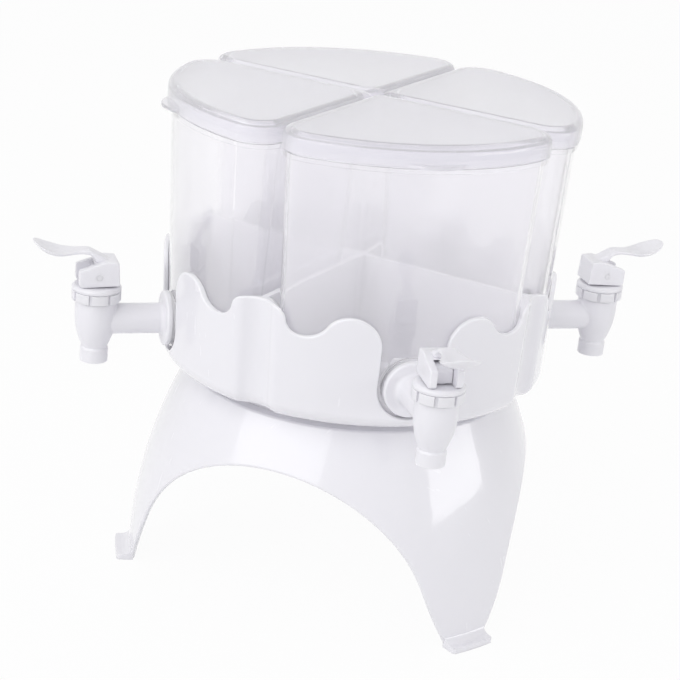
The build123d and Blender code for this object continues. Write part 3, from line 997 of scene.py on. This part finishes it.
@dataclass
class ReturnSpring:
    """The steel spring over a tap's plunger, which shortens as the plunger rises."""

    place: Place
    travel: float = 0.00267

    def stand_for(self, wardrobe: Wardrobe) -> None:
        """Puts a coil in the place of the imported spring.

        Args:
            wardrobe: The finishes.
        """
        word = self.place.word
        name = f"{word}_tap_spring"
        shape = bmesh.new()
        shape.from_mesh(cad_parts[name].data)
        coil = finish_mesh(shape, f"{word} spring coil")
        coil.shade_smooth()
        piece = add_object(f"{name}_coil", coil)
        wardrobe.dress(piece, Finish.STEEL)
        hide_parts(name)
        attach(piece, f"{word}_tank_unit")
        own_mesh(piece)


@dataclass
class Tap:
    """One quarter's tap, with a collar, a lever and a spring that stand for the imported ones."""

    place: Place
    collar: bpy.types.Mesh
    lever: bpy.types.Mesh

    def stand_for(self, mesh: bpy.types.Mesh, kind: str, body: str, wardrobe: Wardrobe) -> None:
        """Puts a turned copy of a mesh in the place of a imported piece.

        Args:
            mesh: The mesh on the front tap.
            kind: The piece's kind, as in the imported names.
            body: The kind of body it moves with.
            wardrobe: The finishes.
        """
        word = self.place.word
        copy = mesh.copy()
        copy.transform(self.place.turn)
        piece = add_object(f"{word}_{kind}_shaped", copy)
        wardrobe.dress(piece, Finish.TAP_WHITE)
        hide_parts(f"{word}_{kind}")
        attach(piece, f"{word}_{body}")
        log.info("%s: %d faces", piece.name, len(copy.polygons))

    def dress(self, wardrobe: Wardrobe) -> None:
        """Puts finishes and shaped pieces on the tap.

        Args:
            wardrobe: The finishes.
        """
        word = self.place.word
        hard = ("tap_body", "tap_nut", "tap_plunger", "tap_pin")
        soft = ("tap_gasket", "tap_washer", "tap_seal", "tap_valve_cup")
        wardrobe.dress_nodes([f"{word}_{name}" for name in hard], Finish.TAP_WHITE)
        wardrobe.dress_nodes([f"{word}_{name}" for name in soft], Finish.SILICONE)
        ReturnSpring(self.place).stand_for(wardrobe)
        self.stand_for(self.collar, "tap_collar", "tank_unit", wardrobe)
        self.stand_for(self.lever, "tap_lever", "lever_unit", wardrobe)


@dataclass(frozen=True)
class SoftBox:
    """A studio lamp: a lit panel that looks at a point."""

    name: str
    place: Point
    aim: Point
    width: float
    height: float
    power: float

    def make(self) -> bpy.types.Object:
        """Builds the lamp.

        Returns:
            The lamp's object.
        """
        lamp = bpy.data.lights.new(self.name, "AREA")
        lamp.shape = "RECTANGLE"
        lamp.size = self.width
        lamp.size_y = self.height
        lamp.energy = self.power
        lit = bpy.data.objects.new(self.name, lamp)
        lit.location = self.place
        way = Vector(self.aim) - Vector(self.place)
        lit.rotation_euler = way.to_track_quat("-Z", "Y").to_euler()
        bpy.context.collection.objects.link(lit)
        return lit


@dataclass
class Studio:
    """Floor, soft light and the camera at the photograph's angle."""

    aim: Point = (-0.0068, 0.0021, 0.13383)
    distance: float = 1.069
    turn: float = 17.17
    elevation: float = 20.37
    roll: float = 5.43
    lens: float = 100.0
    sensor: float = 36.0
    view_end: float = 50.0
    sky_light: float = 0.6
    floor_size: float = 12.0
    floor_parts: int = 8
    floor_shadow: float = 0.05
    floor_colour: Colour = (0.85, 0.85, 0.86)
    light_bounces: int = 16
    clear_bounces: int = 24
    boxes: tuple[SoftBox, ...] = (
        SoftBox("Key soft box", (-1.44, -0.9, 1.21), (0.0, 0.0, 0.15), 2.2, 2.2, 21.0),
        SoftBox("Side soft box", (0.97, -0.7, 0.28), (0.0, 0.0, 0.1), 0.8, 0.34, 2.3),
        SoftBox("Top soft box", (0.1, 0.4, 1.7), (0.0, 0.0, 0.2), 1.2, 1.2, 1.5),
    )

    def make_camera(self) -> None:
        """Places the camera where the photograph was taken from."""
        turn, rise, roll = (math.radians(angle) for angle in (self.turn, self.elevation, self.roll))
        forward = Vector((math.sin(turn) * math.cos(rise), math.cos(turn) * math.cos(rise), -math.sin(rise)))
        level = Vector((math.cos(turn), -math.sin(turn), 0.0))
        upward = level.cross(forward)
        right = level * math.cos(roll) + upward * math.sin(roll)
        top = upward * math.cos(roll) - level * math.sin(roll)
        lens = bpy.data.cameras.new("Studio camera")
        lens.lens = self.lens
        lens.sensor_width = self.sensor
        lens.clip_end = self.view_end
        camera = bpy.data.objects.new("Studio camera", lens)
        axes = Matrix((right, top, -forward)).transposed().to_4x4()
        camera.matrix_world = Matrix.Translation(Vector(self.aim) - forward * self.distance) @ axes
        bpy.context.collection.objects.link(camera)
        bpy.context.scene.camera = camera

    @staticmethod
    def seen_directly(tree: NodeTree) -> Socket:
        """Adds a mask of the rays that show the background itself.

        Args:
            tree: The tree that gets the nodes.

        Returns:
            One for camera, glossy and transmission rays, and nought for the rest.
        """
        path = tree.nodes.new("ShaderNodeLightPath")
        seen = math_node(tree, "MAXIMUM", path.outputs["Is Camera Ray"], path.outputs["Is Glossy Ray"])
        return math_node(tree, "MAXIMUM", seen, path.outputs["Is Transmission Ray"])

    def make_sky(self) -> None:
        """Builds the even sky light with a white backdrop."""
        world = bpy.data.worlds.new("Studio sky")
        bpy.context.scene.world = world
        world.use_nodes = True
        tree = world.node_tree
        tree.nodes.clear()
        backdrop = tree.nodes.new("ShaderNodeBackground")
        backdrop.inputs["Strength"].default_value = 1.0
        backdrop.inputs["Color"].default_value = PURE_WHITE
        light = tree.nodes.new("ShaderNodeBackground")
        light.inputs["Color"].default_value = PURE_WHITE
        light.inputs["Strength"].default_value = self.sky_light
        mix = tree.nodes.new("ShaderNodeMixShader")
        outlet = tree.nodes.new("ShaderNodeOutputWorld")
        tree.links.new(self.seen_directly(tree), mix.inputs["Fac"])
        tree.links.new(light.outputs["Background"], mix.inputs[1])
        tree.links.new(backdrop.outputs["Background"], mix.inputs[2])
        tree.links.new(mix.outputs["Shader"], outlet.inputs["Surface"])

    def make_floor(self) -> None:
        """Builds the pale floor, white to the camera with a faint shadow kept."""
        shape = bmesh.new()
        bmesh.ops.create_grid(
            shape,
            x_segments=self.floor_parts,
            y_segments=self.floor_parts,
            size=self.floor_size / 2,
        )
        mesh = bpy.data.meshes.new("Studio floor")
        shape.to_mesh(mesh)
        shape.free()
        floor = add_object("Studio floor", mesh)
        material = bpy.data.materials.new("Studio floor")
        material.use_nodes = True
        tree = material.node_tree
        tree.nodes.clear()
        matt = tree.nodes.new("ShaderNodeBsdfDiffuse")
        matt.inputs["Color"].default_value = (*self.floor_colour, 1.0)
        glow = tree.nodes.new("ShaderNodeEmission")
        glow.inputs["Strength"].default_value = 1.0
        mix = tree.nodes.new("ShaderNodeMixShader")
        outlet = tree.nodes.new("ShaderNodeOutputMaterial")
        seen = math_node(tree, "MULTIPLY", self.seen_directly(tree), 1.0 - self.floor_shadow)
        tree.links.new(seen, mix.inputs["Fac"])
        tree.links.new(matt.outputs["BSDF"], mix.inputs[1])
        tree.links.new(glow.outputs["Emission"], mix.inputs[2])
        tree.links.new(mix.outputs["Shader"], outlet.inputs["Surface"])
        mesh.materials.append(material)

    def make(self) -> None:
        """Builds the whole studio."""
        scene = bpy.context.scene
        scene.view_settings.view_transform = "Standard"
        scene.cycles.max_bounces = self.light_bounces
        scene.cycles.transmission_bounces = self.light_bounces
        scene.cycles.transparent_max_bounces = self.clear_bounces
        self.make_camera()
        self.make_sky()
        self.make_floor()
        for box in self.boxes:
            box.make()
            log.info("%s: %.0f W", box.name, box.power)


def main() -> None:
    """Builds and dresses the dispenser in its studio."""
    logging.basicConfig(level=logging.INFO, format="%(name)s: %(message)s")
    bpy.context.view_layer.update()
    wardrobe = Wardrobe()
    StandAndCarousel().dress(wardrobe)
    collar = GripCollar().build(wardrobe.materials[Finish.TAP_WHITE])
    lever = PressLever().build()
    for place in Place:
        TankUnit(place).dress(wardrobe)
        Tap(place, collar, lever).dress(wardrobe)
    Studio().make()


if __name__ == "__main__":
    main()
